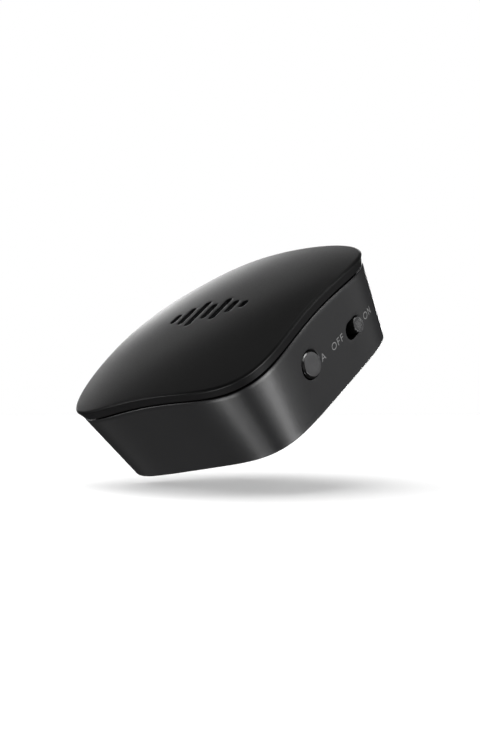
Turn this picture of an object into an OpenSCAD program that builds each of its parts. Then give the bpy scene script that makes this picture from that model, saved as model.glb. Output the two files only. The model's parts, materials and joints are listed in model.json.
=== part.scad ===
// Wireless audio receiver: a domed, tapered puck with a push button on each flank,
// a slide switch, a headphone jack and a charging port, and everything inside it.
// Frame: +Z up, origin on the face it rests on, below its centre.
// The front is -Y, the flank with the slide switch is +X, and the sockets are at +Y.

/* [Enclosure] */
// Width of the cover across the crease under its dome
cover_w = 56; // [55.4:0.1:57]
// Width of the case across its top edge
seam_w = 54.8; // [54:0.1:55.2]
// Width of the case across its bottom edge
base_w = 48; // [47:0.2:50]
// Height of the crease at the middle of a side
crease_z = 20.2; // [19.8:0.1:20.6]
// Height of the crown of the dome
crown_z = 22.5; // [22.2:0.1:23.2]
// How late the dome curves down toward its edge, where 2 is a parabola
dome_power = 2.7; // [2:0.1:3]
// Radius of the sphere whose curve the crease follows, which drops the corners
arch_r = 103.5; // [95:0.5:120]
// Height of the cover's dark side band
band_h = 1.9; // [1.7:0.1:2.2]
// Squareness of the cover's outline, where 2 is a circle
cover_square = 4.2; // [4:0.1:4.5]
// Squareness of the bottom outline
base_square = 5; // [4.6:0.1:5.4]
// Wall thickness
wall = 1.8; // [1.6:0.1:1.9]
// How far the rubber pad stands out of the bottom
pad_proud = 0.3; // [0.2:0.1:0.6]

/* [Controls] */
// Distance of both push buttons in front of the middle
button_y = -7.4; // [-8:0.1:-7]
// Height of the push buttons' axes
button_z = 10.7; // [10.2:0.1:11.2]
// Diameter of a push button
button_d = 5.6; // [5:0.1:5.8]
// Diameter of the hole around a push button
button_hole_d = 6; // [5.9:0.1:6.4]
// Distance of the middle of the slide switch's slot behind the middle
switch_y = 8.9; // [8.5:0.1:9.1]
// Height of the slide switch's slot
switch_z = 8.9; // [8.8:0.1:9.1]
// Travel of the slide switch
switch_travel = 2; // [1.5:0.1:2]
// Diameter of the slide switch's round knob
knob_d = 3.3; // [3:0.1:3.4]

/* [Sockets] */
// Distance of the jack's axis left of the middle, seen from the front
jack_x = -9; // [-10:0.5:-8]
// Radius of the jack's bore
jack_bore_r = 1.8; // [1.78:0.01:1.85]
// Depth of the jack's bore
jack_depth = 14; // [13.5:0.1:14.5]
// Distance of the charging port right of the middle
usb_x = 9; // [8:0.5:10]

/* [Hidden] */
$fn = 48;
eps = 0.01;

// Outline and heights of the enclosure
ring_points = 96;
cover_r = cover_w / 2;
seam_r = seam_w / 2;
base_r = base_w / 2;
seam_gap = 0.4;
floor_z = 2.1;
edge_bevel = 0.3;
lip_r = 0.7;
lip_flatness = 0.8;
skirt_gap = 0.15;
skirt_t = 1.0;
skirt_depth = 1.6;
skirt_draft = 0.34;
dome_t = 1.8;

// Board, screw posts and pad
slide_half_z = 1.5;
board_top = switch_z - slide_half_z;
board_t = 1.2;
board_bottom = board_top - board_t;
board_half = 21.6;
board_corner = 9;
post_xy = 17;
post_d = 4.6;
// High enough to run into the underside of the dome
post_top = crease_z - dome_t + 1;
boss_d = 5.6;
screw_d = 2.0;
screw_hole_d = 2.3;
pilot_d = 1.7;
drive_w = 0.4;
drive_span = 2.2;
drive_depth = 0.7;
head_d = 3.8;
head_recess_d = 4.3;
head_h = 1.3;
head_top = 2.7;
screw_tip = 12.2;
point_h = 0.8;
pad_half = 20.5;
pad_corner = 5.5;
pad_t = 1.0;

// Buttons and their tact switches, on the +X flank; the -X flank mirrors them
button_face_x = 26.5;
button_travel = 0.5;
flange_x = 22.3;
flange_t = 0.9;
flange_d = 7.2;
tact_x = 18.2;
tact_front = 21.4;
tact_w = 6;
tact_h = 6.5;
stem_d = 3.4;
stem_bore_d = 3.8;
shoulder_d = 4.2;
tact_cup = 0.8;
dome_d = 4.4;
dome_rise = 0.7;
plate_t = 0.2;
plate_inset = 0.4;

// Slide switch
slot_r = 1.85;
knob_on_y = switch_y + switch_travel / 2;
slot_half = switch_travel / 2 + knob_d / 2 + 0.25;
knob_face_x = 26.4;
shutter_x = 22.3;
shutter_t = 0.6;
shutter_half_z = 2.15;
shutter_front_y = 4.2;
shutter_back_y = 3.7;
slide_back = 18.4;
slide_front = 21.9;
slide_half_y = 4.3;
lever_w = 1.6;
lever_h = 1.4;
lever_reach = 2.3;
slide_wall = 0.2;

// Jack and charging port
jack_z = board_top + 2.8;
jack_face_y = 25.3;
jack_nose_r = 3;
jack_body_y = 23.4;
jack_hole_r = 3.3;
jack_half_w = 3.2;
jack_h = 5.7;
jack_back_t = 1;
usb_z = board_top + 1.35;
usb_face_y = 25;
usb_len = 5.6;
usb_wall = 0.25;
led_z = board_top + 1.5;
pipe_r = 1.1;
pipe_room = 0.05;
pipe_back_y = 20.4;
pipe_face_y = 25.4;
pipe_flange_r = 1.5;
pipe_flange_y = [22.7, 23.2];
usb_window_half = [4.2, 1.75];
usb_window_corner = 0.8;

// Battery and its leads
cell_half = 14;
cell_t = 3;
cell_z = 2.6;
lead_r = 0.4;
lead_bend = 1.6;
lead_y = 8;
lead_pitch = 1.25;
lead_low_z = 4.1;
lead_high_z = board_top + 1.6;
lead_out_x = -20.6;
plug_x = -18.4;
plug_size = [2.6, 3.8];
header_wall = 0.7;
notch_half = 2.2;

case_grey = [0.16, 0.16, 0.165];
cover_black = [0.07, 0.07, 0.075];

// ---- Outlines ----

// Radius, at an angle, of a rounded square of half-width 1
function square_r(a, n) = pow(pow(abs(cos(a)), n) + pow(abs(sin(a)), n), -1 / n);

function outline_point(half, n, a) = half * square_r(a, n) * [cos(a), sin(a)];

// Height of the arched crease at an angle
function crease_at(a) =
    crease_z - (pow(cover_r * square_r(a, cover_square), 2) - cover_r * cover_r) / (2 * arch_r);

function seam_at(a) = crease_at(a) - band_h;

// One ring of the enclosure: half-width, squareness, and height above the local seam or the ground
function level_ring(half, n, z) =
    [for (i = [0:ring_points - 1])
        let (p = outline_point(half, n, 360 * i / ring_points)) [p.x, p.y, z]];

function seam_ring(half, n, dz) =
    [for (i = [0:ring_points - 1])
        let (a = 360 * i / ring_points, p = outline_point(half, n, a)) [p.x, p.y, seam_at(a) + dz]];

// One ring of the dome: a share of the way from the crown to the crease
function dome_ring(half, share, crown, dz) =
    [for (i = [0:ring_points - 1])
        let (a = 360 * i / ring_points, p = outline_point(half * share, cover_square, a),
             rim = crease_at(a) + dz)
        [p.x, p.y, rim + (crown - rim) * (1 - pow(share, dome_power))]];

// Half-width of the case's outside at a height, on the X and Y axes
function case_half_at(z) =
    base_r + (seam_r - base_r) * (z - pad_proud) / (seam_at(0) - pad_proud);

// Closed solid through a list of rings, with a point at each end
module loft(rings, first_pole, last_pole) {
    n = ring_points;
    points = concat([first_pole], [for (r = rings) for (p = r) p], [last_pole]);
    last = len(points) - 1;
    polyhedron(points, concat(
        [for (i = [0:n - 1]) [0, 1 + i, 1 + (i + 1) % n]],
        [for (k = [0:len(rings) - 2]) for (i = [0:n - 1])
            [1 + k * n + i, 1 + (k + 1) * n + i, 1 + k * n + (i + 1) % n]],
        [for (k = [0:len(rings) - 2]) for (i = [0:n - 1])
            [1 + (k + 1) * n + i, 1 + (k + 1) * n + (i + 1) % n, 1 + k * n + (i + 1) % n]],
        [for (i = [0:n - 1])
            [last, 1 + (len(rings) - 1) * n + (i + 1) % n, 1 + (len(rings) - 1) * n + i]]));
}

// ---- Small helpers ----

// Block from a low corner to a high corner
module block(low, high) {
    translate(low) cube(high - low);
}

// Cylinder along X from x0 to x1
module rod_x(x0, x1, r, y = 0, z = 0) {
    translate([x0, y, z]) rotate([0, 90, 0]) cylinder(h = x1 - x0, r = r);
}

// Cylinder along Y from y0 to y1
module rod_y(y0, y1, r, x = 0, z = 0) {
    translate([x, y0, z]) rotate([-90, 0, 0]) cylinder(h = y1 - y0, r = r);
}

// Flat plate with round corners
module round_plate(half_x, half_y, corner, z0, z1) {
    block([-half_x, corner - half_y, z0], [half_x, half_y - corner, z1]);
    block([corner - half_x, -half_y, z0], [half_x - corner, half_y, z1]);
    for (x = [corner - half_x, half_x - corner], y = [corner - half_y, half_y - corner])
        translate([x, y, z0]) cylinder(h = z1 - z0, r = corner);
}

// A copy at each screw post
module at_posts() {
    for (x = [-post_xy, post_xy], y = [-post_xy, post_xy]) translate([x, y, 0]) children();
}

// ---- Enclosure ----

module case_shell() {
    inner_low = case_half_at(floor_z) - wall;
    inner_top = seam_r - wall;
    loft([
        level_ring(base_r - edge_bevel, base_square, pad_proud),
        level_ring(case_half_at(pad_proud + edge_bevel), base_square, pad_proud + edge_bevel),
        seam_ring(seam_r, cover_square, -seam_gap / 2),
        seam_ring(inner_top, cover_square, -seam_gap / 2),
        level_ring(inner_low, base_square, floor_z)
    ], [0, 0, pad_proud], [0, 0, floor_z]);
}

module slot_x(x0, x1, r, half) {
    rod_x(x0, x1, r, switch_y - half + r, switch_z);
    rod_x(x0, x1, r, switch_y + half - r, switch_z);
    block([x0, switch_y - half + r, switch_z - r], [x1, switch_y + half - r, switch_z + r]);
}

module usb_window(y0, y1) {
    translate([usb_x, y1, usb_z]) rotate([90, 0, 0])
        round_plate(usb_window_half.x, usb_window_half.y, usb_window_corner, 0, y1 - y0);
}

module lower_case() {
    inside = 20;
    outside = 30;
    color(case_grey) difference() {
        union() {
            case_shell();
            at_posts() translate([0, 0, floor_z - eps])
                cylinder(h = board_bottom - floor_z + eps, d = boss_d);
        }
        round_plate(pad_half, pad_half, pad_corner, pad_proud - 1, pad_t);
        at_posts() {
            cylinder(h = board_bottom + 1, d = screw_hole_d);
            cylinder(h = head_top, d = head_recess_d);
        }
        rod_x(inside, outside, button_hole_d / 2, button_y, button_z);
        rod_x(-outside, -inside, button_hole_d / 2, button_y, button_z);
        slot_x(inside, outside, slot_r, slot_half);
        rod_y(inside, outside, jack_hole_r, jack_x, jack_z);
        rod_y(inside, outside, pipe_r + pipe_room, 0, led_z);
        usb_window(inside, outside);
    }
}

// Seven upright bars of a sound level, sunk into the crown
bar_w = 1.7;
bar_pitch = 3.3;
bar_heights = [3.4, 6.4, 9.4, 5.6, 8, 4.6, 2.6];
bar_depth = 0.45;
mark_x = -1.5;
mark_y = 2;

module level_mark() {
    for (i = [0:len(bar_heights) - 1]) {
        x = mark_x + (i - (len(bar_heights) - 1) / 2) * bar_pitch;
        reach = bar_heights[i] / 2 - bar_w / 2;
        edge = pow(norm([x, mark_y]) / cover_r, dome_power) * (crown_z - crease_z);
        translate([x, mark_y, crown_z - edge - bar_depth]) {
            block([-bar_w / 2, -reach, 0], [bar_w / 2, reach, 3]);
            for (s = [-1, 1]) translate([0, s * reach, 0]) cylinder(h = 3, d = bar_w);
        }
    }
}

module cover_shell() {
    inner_r = seam_r - wall - skirt_gap;
    lip_angles = [-35, 0, 30, 60, 85];
    loft(concat(
        [for (share = [0.35, 0.7, 0.9, 1])
            dome_ring(inner_r - skirt_t, share, crown_z - dome_t, -dome_t)],
        [seam_ring(inner_r - skirt_t, cover_square, -skirt_depth),
         seam_ring(inner_r - skirt_draft, cover_square, -skirt_depth),
         seam_ring(inner_r, cover_square, seam_gap / 2),
         seam_ring(seam_r + 0.05, cover_square, seam_gap / 2),
         seam_ring(cover_r - 0.25, cover_square, band_h - 0.35)],
        [for (a = lip_angles)
            seam_ring(cover_r - lip_r * (1 - cos(a)), cover_square, band_h + lip_r * lip_flatness * sin(a))],
        [for (share = [0.93, 0.85, 0.7, 0.5, 0.25])
            dome_ring(cover_r, share, crown_z, 0.25)]
    ), [0, 0, crown_z - dome_t], [0, 0, crown_z]);
}

module top_cover() {
    color(cover_black) difference() {
        union() {
            cover_shell();
            at_posts() translate([0, 0, board_top])
                cylinder(h = post_top - board_top, d = post_d);
        }
        at_posts() translate([0, 0, board_top - 1])
            cylinder(h = screw_tip + point_h - board_top + 1, d = pilot_d);
        level_mark();
    }
}

module base_pad() {
    color([0.05, 0.05, 0.05])
        round_plate(pad_half - 0.1, pad_half - 0.1, pad_corner - 0.1, 0, pad_t);
}

module case_screws() {
    color("silver") at_posts() difference() {
        union() {
            translate([0, 0, head_top - head_h]) cylinder(h = head_h, d = head_d);
            translate([0, 0, head_top - eps]) cylinder(h = screw_tip - point_h - head_top, d = screw_d);
            translate([0, 0, screw_tip - point_h - 2 * eps])
                cylinder(h = point_h, d1 = screw_d, d2 = screw_d / 2 - 0.2);
        }
        for (turn = [0, 90]) rotate(turn)
            block([-drive_span / 2, -drive_w / 2, 0],
                  [drive_span / 2, drive_w / 2, head_top - head_h + drive_depth]);
    }
}

// ---- Board and what is soldered to it ----

pin_hole_d = 0.9;
pin_half = 0.2;
pin_low = 5.9;
slide_pins_y = [for (k = [-1:1]) switch_y + 2.5 * k];
slide_pin_x = 18.9;
tact_pins_y = [button_y - 2.25, button_y + 2.25];
tact_pin_x = 19;

module pin_holes() {
    for (y = slide_pins_y)
        translate([slide_pin_x, y, 0]) cylinder(h = 20, d = pin_hole_d);
    for (x = [-tact_pin_x, tact_pin_x], y = tact_pins_y)
        translate([x, y, 0]) cylinder(h = 20, d = pin_hole_d);
}

module circuit_board() {
    color([0.05, 0.25, 0.14]) difference() {
        round_plate(board_half, board_half, board_corner, board_bottom, board_top);
        at_posts() cylinder(h = 20, d = screw_hole_d);
        pin_holes();
        block([-board_half - 1, lead_y - notch_half, 0], [lead_out_x + 1, lead_y + notch_half, 20]);
    }
}

module chip(x, y, w, d, h) {
    block([x - w / 2, y - d / 2, board_top], [x + w / 2, y + d / 2, board_top + h]);
}

module shield_can() {
    sheet_t = 0.2;
    can_h = 2.2;
    color("silver") difference() {
        chip(-5, -9, 13, 11, can_h);
        translate([0, 0, -1]) chip(-5, -9, 13 - 2 * sheet_t, 11 - 2 * sheet_t, can_h + 1 - sheet_t);
    }
}

module radio_chip() {
    color([0.09, 0.09, 0.1]) chip(-6, -9, 7, 7, 0.9);
}

module crystal() {
    color("gainsboro") chip(5.5, -7, 3.2, 2.5, 0.8);
}

// Printed aerial: a feed and a meander along the front edge of the board
module antenna_trace() {
    t = 0.08;
    w = 0.6;
    step = 1.6;
    color([0.72, 0.45, 0.2]) {
        block([-1, -16, board_top], [-1 + w, -14.7, board_top + t]);
        for (i = [0:6]) {
            x = -1 + i * step;
            block([x, -20.5, board_top], [x + w, -16, board_top + t]);
            y = i % 2 == 0 ? -20.5 : -16 - w;
            block([x + w, y, board_top], [x + step, y + w, board_top + t]);
        }
    }
}

module audio_codec() {
    color([0.09, 0.09, 0.1]) chip(-7, 3, 5, 5, 0.9);
}

module charger_chip() {
    color([0.09, 0.09, 0.1]) chip(9, 13, 2.9, 1.6, 1.1);
}

module power_inductor() {
    color([0.2, 0.2, 0.22]) difference() {
        chip(2, 13, 4, 4, 1.9);
        translate([2, 13, board_top + 1.7]) cylinder(h = 1, d = 2.6);
    }
}

module small_parts(places, w, d, h) {
    for (p = places) chip(p[0], p[1], w, d, h);
}

module capacitors() {
    color([0.62, 0.48, 0.32])
        small_parts([[5, 8], [7.4, 8], [-1, 6], [-1, 3.5], [-12, 2], [-12, 5], [5.5, -11]],
                    1.25, 2, 0.9);
}

module resistors() {
    color([0.12, 0.12, 0.13])
        small_parts([[12.5, 10], [12.5, 12], [3, 4], [5, 4], [7, 4], [1.5, 0], [9.5, -4]],
                    1.6, 0.8, 0.45);
}

// ---- Battery ----

module battery_cell() {
    color([0.75, 0.76, 0.78]) {
        block([-cell_half, -cell_half, cell_z], [cell_half - 1.5, cell_half, cell_z + cell_t]);
        block([cell_half - 1.5, -cell_half, cell_z + 1.2], [cell_half, cell_half, cell_z + 1.4]);
    }
}

module battery_guard_board() {
    color([0.05, 0.25, 0.14])
        block([-cell_half - 2, lead_y - 3.5, cell_z + 0.6], [-cell_half, lead_y + 3.5, cell_z + 2.4]);
}

module battery_tape() {
    color("white") block([-11, -11, floor_z], [10, 11, cell_z]);
}

// One lead: out of the cell's side, up through the board's notch and over into the plug
module lead(y) {
    start_x = -cell_half - 2;
    rod_x(lead_out_x + lead_bend, start_x, lead_r, y, lead_low_z);
    translate([lead_out_x + lead_bend, y, lead_low_z + lead_bend]) rotate([90, 0, 0])
        rotate_extrude(angle = -90, start = 270) translate([lead_bend, 0]) circle(r = lead_r);
    translate([lead_out_x, y, lead_low_z + lead_bend])
        cylinder(h = lead_high_z - lead_low_z - 2 * lead_bend, r = lead_r);
    translate([lead_out_x + lead_bend, y, lead_high_z - lead_bend]) rotate([90, 0, 0])
        rotate_extrude(angle = -90, start = 180) translate([lead_bend, 0]) circle(r = lead_r);
    rod_x(lead_out_x + lead_bend, plug_x, lead_r, y, lead_high_z);
}

module lead_positive() {
    color("firebrick") lead(lead_y + lead_pitch / 2);
}

module lead_negative() {
    color([0.08, 0.08, 0.08]) lead(lead_y - lead_pitch / 2);
}

module battery_plug() {
    color("ivory")
        block([plug_x, lead_y - plug_size.y / 2, board_top + 0.5],
              [plug_x + plug_size.x, lead_y + plug_size.y / 2, board_top + 2.4]);
}

module battery_header() {
    color("ivory") difference() {
        block([plug_x + 0.6, lead_y - plug_size.y / 2 - header_wall, board_top],
              [plug_x + 4.6, lead_y + plug_size.y / 2 + header_wall, board_top + 2.9]);
        block([plug_x, lead_y - plug_size.y / 2 - 0.1, board_top + 0.4],
              [plug_x + plug_size.x + 0.1, lead_y + plug_size.y / 2 + 0.1, board_top + 2.5]);
    }
}

// ---- Headphone jack ----

contact_y = [12.6, 16.4, 20.2];
contact_half = 0.5;
contact_t = 0.24;
contact_room = 0.05;
contact_rise = 1.4;
foot_t = 0.15;

module jack_housing() {
    color([0.07, 0.07, 0.07]) difference() {
        union() {
            block([jack_x - jack_half_w, jack_face_y - jack_depth - jack_back_t, board_top],
                  [jack_x + jack_half_w, jack_body_y, board_top + jack_h]);
            rod_y(jack_body_y - eps, jack_face_y, jack_nose_r, jack_x, jack_z);
        }
        rod_y(jack_face_y - jack_depth, jack_face_y + 1, jack_bore_r, jack_x, jack_z);
        for (i = [0:2]) contact_slot(i);
    }
}

// Each contact lies beside the bore, on alternate sides
function contact_side(i) = i == 1 ? 1 : -1;

function contact_x(i) = jack_x + contact_side(i) * (jack_bore_r + 0.55);

module contact_slot(i) {
    x = contact_x(i);
    past = x + contact_side(i) * jack_half_w;
    half = contact_half + contact_room;
    block([x - contact_t - contact_room, contact_y[i] - half, board_top - 1],
          [x + contact_t + contact_room, contact_y[i] + half, jack_z + contact_rise + contact_room]);
    block([min(x, past), contact_y[i] - half, board_top - 1],
          [max(x, past), contact_y[i] + half, board_top + foot_t + contact_room]);
}

module jack_contact(i) {
    x = contact_x(i);
    foot_x = x + contact_side(i) * 1.9;
    color("gold") {
        block([x - contact_t / 2, contact_y[i] - contact_half, board_top],
              [x + contact_t / 2, contact_y[i] + contact_half, jack_z + contact_rise]);
        block([min(x, foot_x), contact_y[i] - contact_half, board_top],
              [max(x, foot_x), contact_y[i] + contact_half, board_top + foot_t]);
    }
}

// ---- Charging port ----

usb_outline = [[-3.75, 1.3], [3.75, 1.3], [3.75, 0.1], [2.9, -1.3], [-2.9, -1.3], [-3.75, 0.1]];
usb_opening = [[-3.5, 1.05], [3.5, 1.05], [3.5, 0.2], [2.75, -1.05], [-2.75, -1.05], [-3.5, 0.2]];

module usb_prism(outline, y0, y1) {
    translate([usb_x, y1, usb_z]) rotate([90, 0, 0])
        linear_extrude(height = y1 - y0) polygon(outline);
}

module usb_shell() {
    y0 = usb_face_y - usb_len;
    color("silver") {
        difference() {
            usb_prism(usb_outline, y0, usb_face_y);
            usb_prism(usb_opening, y0 + usb_wall, usb_face_y + 1);
        }
        for (s = [-1, 1])
            block([usb_x + s * 3.3 - 0.5, y0 + 1.2, board_top], [usb_x + s * 3.3 + 0.5, y0 + 2.8, usb_z]);
    }
}

module usb_tongue() {
    y0 = usb_face_y - usb_len + usb_wall;
    color([0.1, 0.1, 0.1]) {
        block([usb_x - 1.9, y0, usb_z + 0.05], [usb_x + 1.9, usb_face_y - 0.9, usb_z + 0.65]);
        block([usb_x - 2.6, y0, usb_z - 0.95], [usb_x + 2.6, y0 + 0.9, usb_z + 0.65]);
    }
}

module usb_contacts() {
    y0 = usb_face_y - usb_len + usb_wall + 0.9;
    color("gold") for (k = [-2:2]) translate([usb_x + 0.65 * k, 0, usb_z])
        block([-0.15, y0, -0.05], [0.15, usb_face_y - 1.2, 0.05]);
}

// ---- Status light ----

module status_led() {
    color("ivory") chip(0, 19.6, 1.6, 1.2, 2);
}

module light_pipe() {
    color([0.9, 0.95, 1, 0.6]) {
        rod_y(pipe_back_y, pipe_face_y, pipe_r, 0, led_z);
        rod_y(pipe_flange_y[0], pipe_flange_y[1], pipe_flange_r, 0, led_z);
    }
}

// ---- Push buttons and their tact switches ----

// Draws its children on the +X flank, or mirrored on the -X flank
module flank(side) {
    if (side > 0) children();
    else mirror([1, 0, 0]) children();
}

// A flat disc with a rounded front edge and a flange that keeps it in the case
module button_cap(side) {
    r = button_d / 2;
    round_r = 0.45;
    bend_x = button_face_x - round_r;
    color([0.29, 0.29, 0.3]) flank(side)
        translate([0, button_y, button_z]) rotate([0, 90, 0]) rotate_extrude() {
            translate([0, flange_x]) square([flange_d / 2, flange_t]);
            translate([0, flange_x + flange_t - eps]) square([r, bend_x - flange_x - flange_t + eps]);
            translate([0, bend_x - eps]) square([r - round_r, round_r + eps]);
            intersection() {
                translate([r - round_r, bend_x]) circle(r = round_r);
                translate([r - round_r - eps, bend_x - eps]) square(round_r + 2 * eps);
            }
        }
}

// Plunger with a shoulder that the switch's plate holds in
module tact_stem(side) {
    color([0.1, 0.1, 0.1]) flank(side) {
        rod_x(tact_x + tact_cup + dome_rise, flange_x, stem_d / 2, button_y, button_z);
        rod_x(tact_front - 0.9, tact_front - 0.2, shoulder_d / 2, button_y, button_z);
    }
}

// Snap dome: a thin cap of a sphere that stands on its rim
module tact_dome(side) {
    t = 0.12;
    ball_r = (dome_d * dome_d / 4 + dome_rise * dome_rise) / (2 * dome_rise);
    color("silver") flank(side)
        translate([tact_x + tact_cup, button_y, button_z]) rotate([0, 90, 0])
            rotate_extrude() difference() {
                translate([0, dome_rise - ball_r]) circle(r = ball_r);
                translate([0, dome_rise - ball_r]) circle(r = ball_r - t);
                translate([-20, -40]) square([40, 40]);
                translate([-20, -20]) square([20, 40]);
            }
}

module tact_body(side) {
    color([0.12, 0.12, 0.13]) flank(side) difference() {
        block([tact_x, button_y - tact_w / 2, board_top],
              [tact_front, button_y + tact_w / 2, board_top + tact_h]);
        rod_x(tact_x + tact_cup, tact_front + 1, dome_d / 2 + 0.1, button_y, button_z);
    }
}

// Steel plate over the body's mouth, with a leg down each side
module tact_plate(side) {
    color("silver") flank(side) {
        difference() {
            block([tact_front, button_y - tact_w / 2, board_top + plate_inset],
                  [tact_front + plate_t, button_y + tact_w / 2, board_top + tact_h - plate_inset]);
            rod_x(tact_front - 1, tact_front + 1, stem_bore_d / 2, button_y, button_z);
        }
        for (s = [-1, 1]) translate([0, button_y + s * (tact_w + plate_t) / 2, board_top])
            block([tact_x + 0.6, -plate_t / 2, 2], [tact_front + plate_t, plate_t / 2, 4.4]);
    }
}

module tact_pins(side) {
    color("silver") flank(side) for (y = tact_pins_y)
        block([tact_pin_x - pin_half, y - pin_half, pin_low],
              [tact_pin_x + pin_half, y + pin_half, board_top]);
}

// ---- Slide switch ----

module switch_knob() {
    groove_w = 0.3;
    groove_pitch = 0.8;
    lever_room = 0.02;
    color([0.3, 0.3, 0.31]) difference() {
        union() {
            block([shutter_x, knob_on_y - shutter_front_y, switch_z - shutter_half_z],
                  [shutter_x + shutter_t, knob_on_y + shutter_back_y, switch_z + shutter_half_z]);
            rod_x(shutter_x, knob_face_x, knob_d / 2, knob_on_y, switch_z);
        }
        block([shutter_x - 1, knob_on_y - lever_w / 2 - lever_room, switch_z - lever_h / 2 - lever_room],
              [shutter_x + lever_reach + 0.2, knob_on_y + lever_w / 2 + lever_room,
               switch_z + lever_h / 2 + lever_room]);
        for (k = [-1:1])
            block([knob_face_x - 0.25, knob_on_y + groove_pitch * k - groove_w / 2, switch_z - knob_d],
                  [knob_face_x + 1, knob_on_y + groove_pitch * k + groove_w / 2, switch_z + knob_d]);
    }
}

module slide_actuator() {
    color([0.85, 0.85, 0.82]) {
        block([slide_back + 1.5, knob_on_y - 1.8, switch_z - 1.1],
              [slide_front - 0.3, knob_on_y + 1.8, switch_z + 1.1]);
        block([slide_front - 0.3 - eps, knob_on_y - lever_w / 2, switch_z - lever_h / 2],
              [shutter_x + lever_reach, knob_on_y + lever_w / 2, switch_z + lever_h / 2]);
    }
}

module slide_wiper() {
    color("gold") block([slide_back + 0.9, knob_on_y - 1.5, switch_z - 0.5],
                        [slide_back + 1.5, knob_on_y + 1.5, switch_z + 0.5]);
}

module slide_base() {
    color([0.12, 0.12, 0.12]) difference() {
        block([slide_back, switch_y - slide_half_y + slide_wall, switch_z - slide_half_z + slide_wall],
              [slide_back + 0.8, switch_y + slide_half_y - slide_wall,
               switch_z + slide_half_z - slide_wall]);
        for (y = slide_pins_y)
            block([slide_pin_x - pin_half, y - pin_half, 0],
                  [slide_back + 1, y + pin_half, switch_z + 0.6]);
    }
}

module slide_frame() {
    slot_y = switch_travel / 2 + lever_w / 2 + 0.2;
    color("silver") difference() {
        block([slide_back, switch_y - slide_half_y, switch_z - slide_half_z],
              [slide_front, switch_y + slide_half_y, switch_z + slide_half_z]);
        block([slide_back - 1, switch_y - slide_half_y + slide_wall,
               switch_z - slide_half_z + slide_wall],
              [slide_front - slide_wall, switch_y + slide_half_y - slide_wall,
               switch_z + slide_half_z - slide_wall]);
        block([slide_front - 1, switch_y - slot_y, switch_z - 0.9],
              [slide_front + 1, switch_y + slot_y, switch_z + 0.9]);
        for (y = slide_pins_y)
            block([slide_pin_x - 0.35, y - 0.35, 0], [slide_pin_x + 0.35, y + 0.35, switch_z - 1]);
    }
}

module slide_terminals() {
    color("silver") for (y = slide_pins_y) {
        block([slide_pin_x - pin_half, y - pin_half, pin_low],
              [slide_pin_x + pin_half, y + pin_half, switch_z + 0.6]);
    }
}

// ---- What is drawn ----

lower_case();
top_cover();
base_pad();
case_screws();
circuit_board();
shield_can();
radio_chip();
crystal();
antenna_trace();
audio_codec();
charger_chip();
power_inductor();
capacitors();
resistors();
battery_cell();
battery_guard_board();
battery_tape();
lead_positive();
lead_negative();
battery_plug();
battery_header();
jack_housing();
jack_contact(0);  // jack_tip_contact
jack_contact(1);  // jack_ring_contact
jack_contact(2);  // jack_sleeve_contact
usb_shell();
usb_tongue();
usb_contacts();
status_led();
light_pipe();
button_cap(1);  // button_a
tact_stem(1);  // tact_a_stem
tact_dome(1);  // tact_a_dome
tact_body(1);  // tact_a_body
tact_plate(1);  // tact_a_plate
tact_pins(1);  // tact_a_pins
button_cap(-1);  // button_b
tact_stem(-1);  // tact_b_stem
tact_dome(-1);  // tact_b_dome
tact_body(-1);  // tact_b_body
tact_plate(-1);  // tact_b_plate
tact_pins(-1);  // tact_b_pins
switch_knob();
slide_actuator();
slide_wiper();
slide_base();
slide_frame();
slide_terminals();
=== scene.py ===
"""A wireless audio receiver: a domed lid over a tapered case, two push buttons and a slide switch.

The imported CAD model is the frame. The case, the lid, the controls and the snap domes get finer meshes
here, and every other piece keeps its CAD shape and gets its finish.
"""

import json
import math

import bmesh
import bpy
import numpy as np
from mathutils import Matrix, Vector
from mathutils.geometry import delaunay_2d_cdt


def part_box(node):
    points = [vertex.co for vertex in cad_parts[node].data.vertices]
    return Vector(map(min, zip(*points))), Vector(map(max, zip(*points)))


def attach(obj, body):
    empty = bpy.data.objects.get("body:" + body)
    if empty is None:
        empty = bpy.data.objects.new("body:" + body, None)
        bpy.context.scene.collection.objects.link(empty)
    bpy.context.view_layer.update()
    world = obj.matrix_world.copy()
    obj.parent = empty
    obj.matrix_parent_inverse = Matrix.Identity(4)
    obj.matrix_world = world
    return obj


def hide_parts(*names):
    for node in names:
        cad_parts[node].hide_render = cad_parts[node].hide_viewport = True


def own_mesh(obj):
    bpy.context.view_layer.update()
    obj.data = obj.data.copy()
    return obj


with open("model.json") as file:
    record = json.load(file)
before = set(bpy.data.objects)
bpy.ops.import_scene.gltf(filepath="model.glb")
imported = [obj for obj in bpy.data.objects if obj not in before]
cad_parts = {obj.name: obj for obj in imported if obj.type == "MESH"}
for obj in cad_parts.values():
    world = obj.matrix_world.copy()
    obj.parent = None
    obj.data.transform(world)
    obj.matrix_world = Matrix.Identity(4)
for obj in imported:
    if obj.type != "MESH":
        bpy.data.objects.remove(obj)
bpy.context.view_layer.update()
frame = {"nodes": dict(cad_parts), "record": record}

# ---- Sizes, in millimetres unless a name says otherwise ----

MM = 0.001


def low_mm(node):
    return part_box(node)[0] / MM


def high_mm(node):
    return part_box(node)[1] / MM


def middle_mm(node):
    return (low_mm(node) + high_mm(node)) / 2


def mount_mm(name):
    mounts = {m["name"]: m for m in frame["record"]["mounts"]}
    return Vector(mounts[name]["pos_m"]) / MM


# The enclosure
SEGMENTS = 288
COVER = high_mm("top_cover").x
CROWN = high_mm("top_cover").z
SEAM = high_mm("lower_case").x
BOTTOM = low_mm("lower_case").z
CREASE = 20.2
ARCH = 103.5
BAND = 1.9
COVER_SQUARE = 4.2
BASE_SQUARE = 5.0
BASE = 24.0
WALL = 1.8
GAP = 0.4
FLOOR = 2.1
EDGE = 0.3
RIM_INSET = 0.03
RIM_ROUND = 0.18
LIP = 0.7
LIP_RISE = 0.56
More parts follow.
